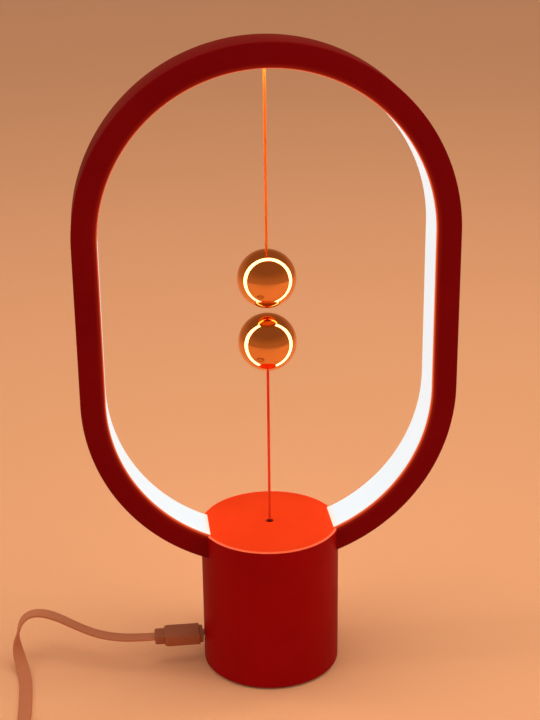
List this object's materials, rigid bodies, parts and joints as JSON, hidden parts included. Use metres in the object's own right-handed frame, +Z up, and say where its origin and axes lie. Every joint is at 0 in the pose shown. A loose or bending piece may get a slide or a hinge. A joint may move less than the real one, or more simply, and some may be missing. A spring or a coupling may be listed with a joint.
{
  "type": "magnetic balance lamp",
  "caption": "Lit stadium-shaped ring in a round base, with two magnetic balls hanging face to face on cords; lifting the lower ball works a pull switch.",
  "frame": {"origin": "on the floor under the centre of the round base", "axes": "+Z up, the ring lies in the XZ plane, -X towards the charging socket, -Y towards the viewer"},
  "size_m": [0.2592, 0.2051, 0.3669],
  "materials": {
    "ring_plastic": "satin, moulded",
    "base_plastic": "satin, fine moulded grain",
    "frosted_white": "frosted, lit from behind",
    "flex_circuit": "white solder mask",
    "led_package": "yellow phosphor",
    "white_plastic": "moulded",
    "steel": "zinc plated",
    "acetal": "smooth, slippery",
    "black_plastic": "moulded",
    "tinned": "tinned",
    "spring_steel": "drawn",
    "circuit_board": "solder mask",
    "board_parts": "mixed electronic parts",
    "nickel_steel": "nickel plated",
    "ballast_iron": "turned disc",
    "foam_rubber": "closed-cell foam",
    "braided_cord": "two-strand twist",
    "red_plastic": "moulded",
    "gold_metal": "mirror polished",
    "magnet_nickel": "nickel plated",
    "lead_rubber": "smooth, flat moulded lead"
  },
  "bodies": {
    "lamp_body": {"ring_frame": "ring_plastic", "diffuser": "frosted_white", "led_strip": "flex_circuit", "led_chips": "led_package", "cord_anchor": "white_plastic", "anchor_screws": "steel", "base_shell": "base_plastic", "top_cap": "base_plastic", "cap_screws": "steel", "guide_bush": "acetal", "ring_cradle": "black_plastic", "ring_end_screws": "steel", "cradle_screws": "steel", "switch_frame": "black_plastic", "switch_frame_screws": "steel", "microswitch_case": "black_plastic", "microswitch_terminals": "tinned", "microswitch_screws": "steel", "lever_pin": "steel", "return_spring": "spring_steel", "control_board": "circuit_board", "board_parts": "board_parts", "board_screws": "steel", "usb_socket_shell": "nickel_steel", "usb_socket_tongue": "black_plastic", "ballast_weight": "ballast_iron", "bottom_cover": "black_plastic", "cover_screws": "steel", "foot_pad": "foam_rubber"},
    "switch_slider": {"switch_carriage": "acetal", "retaining_clip": "spring_steel", "lower_cord_tail": "braided_cord"},
    "microswitch_lever_body": {"microswitch_lever": "spring_steel"},
    "microswitch_button_body": {"microswitch_button": "red_plastic"},
    "lower_knot": {"lower_cord_knot": "braided_cord"},
    "lower_ball": {"lower_cord": "braided_cord", "lower_ball_cord_half": "gold_metal", "lower_ball_magnet_half": "gold_metal", "lower_ball_magnet": "magnet_nickel"},
    "upper_knot": {"upper_cord_knot": "braided_cord"},
    "upper_ball": {"upper_cord": "braided_cord", "upper_ball_cord_half": "gold_metal", "upper_ball_magnet_half": "gold_metal", "upper_ball_magnet": "magnet_nickel"},
    "usb_cable": {"plug_housing": "lead_rubber", "plug_strain_relief": "lead_rubber", "plug_tip": "nickel_steel", "plug_contacts": "black_plastic", "lead": "lead_rubber", "lead_coil": "lead_rubber", "lead_tail": "lead_rubber", "far_plug_housing": "lead_rubber", "far_plug_shell": "nickel_steel", "far_plug_insert": "black_plastic"}
  },
  "joints": [
    {"name": "lower_cord_pull", "type": "slide", "parent": "lamp_body", "child": "switch_slider", "axis": [0, 0, 1], "range_m": [-0.0035, 0], "stiffness_N_per_m": 100, "springref_m": 0.008, "deforming": ["return_spring"]},
    {"name": "microswitch_lever_turn", "type": "hinge", "parent": "lamp_body", "child": "microswitch_lever_body", "pos_m": [0.0095, -0.0054, 0.0716], "axis": [1, 0, 0], "range_deg": [-16.9, 0]},
    {"name": "microswitch_button_press", "type": "slide", "parent": "lamp_body", "child": "microswitch_button_body", "axis": [0, 0, 1], "range_m": [-0.0007, 0]},
    {"name": "lower_swing_side", "type": "hinge", "parent": "switch_slider", "child": "lower_knot", "pos_m": [0, 0, 0.0891], "axis": [0, 1, 0], "range_deg": [-12, 12], "stiffness_Nm_per_rad": 0.15},
    {"name": "lower_swing_front", "type": "hinge", "parent": "lower_knot", "child": "lower_ball", "pos_m": [0, 0, 0.0891], "axis": [1, 0, 0], "range_deg": [-12, 12], "stiffness_Nm_per_rad": 0.15},
    {"name": "upper_swing_side", "type": "hinge", "parent": "lamp_body", "child": "upper_knot", "pos_m": [0, 0, 0.3523], "axis": [0, 1, 0], "range_deg": [-38, 38]},
    {"name": "upper_swing_front", "type": "hinge", "parent": "upper_knot", "child": "upper_ball", "pos_m": [0, 0, 0.3523], "axis": [1, 0, 0], "range_deg": [-40, 40]},
    {"name": "charging_plug_pull", "type": "slide", "parent": "lamp_body", "child": "usb_cable", "axis": [-1, 0, 0], "range_m": [0, 0.008]}
  ],
  "couplings": [
    {"joint": "microswitch_lever_turn", "follows": "lower_cord_pull", "rad_per_m": 84},
    {"joint": "microswitch_button_press", "follows": "lower_cord_pull", "ratio": 0.2}
  ]
}
